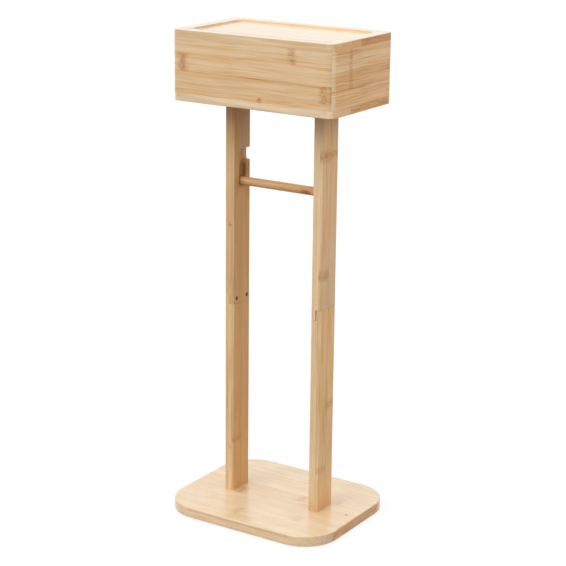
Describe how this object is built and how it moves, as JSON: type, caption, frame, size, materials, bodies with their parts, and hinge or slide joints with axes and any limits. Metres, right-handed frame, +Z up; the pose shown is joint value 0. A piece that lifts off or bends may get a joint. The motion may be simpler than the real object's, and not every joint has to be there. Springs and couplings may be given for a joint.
{
  "type": "toilet paper stand",
  "caption": "Free-standing bamboo toilet paper stand: rounded base, two half-lapped posts, lift-out roll rod in J-shaped grooves, and a lidded storage box with a tray top.",
  "frame": {"origin": "on the ground under the centre of the base plate", "axes": "+Z up, -Y towards the front, +X to the right seen from the front"},
  "size_m": [0.26, 0.21, 0.6796],
  "materials": {
    "bamboo_base": "satin clear lacquer",
    "bamboo_posts": "satin clear lacquer",
    "bamboo_box": "satin clear lacquer",
    "bamboo_lid": "satin clear lacquer",
    "bamboo_rod": "satin clear lacquer",
    "dowel_wood": "raw",
    "zinc_steel": "zinc plated",
    "brown_steel": "browned",
    "pad_rubber": "matt"
  },
  "bodies": {
    "stand": {"base_plate": "bamboo_base", "base_pads": "pad_rubber", "base_bolts": "zinc_steel", "base_inserts": "zinc_steel", "left_lower_post": "bamboo_posts", "right_lower_post": "bamboo_posts", "left_upper_post": "bamboo_posts", "right_upper_post": "bamboo_posts", "lap_screws": "brown_steel", "box_inserts": "zinc_steel", "box_bolts": "zinc_steel", "box_floor": "bamboo_box", "front_wall": "bamboo_box", "back_wall": "bamboo_box", "left_wall": "bamboo_box", "right_wall": "bamboo_box", "corner_splines": "dowel_wood", "floor_dowels": "dowel_wood"},
    "lid": {"lid_board": "bamboo_lid", "lid_battens": "bamboo_lid"},
    "rod": {"roll_rod": "bamboo_rod"}
  },
  "joints": [
    {"name": "lid_lift", "type": "slide", "parent": "stand", "child": "lid", "axis": [0, 0, 1], "range_m": [0, 0.06]},
    {"name": "rod_lift", "type": "slide", "parent": "stand", "child": "rod", "axis": [0, 0, 1], "range_m": [0, 0.036]}
  ]
}
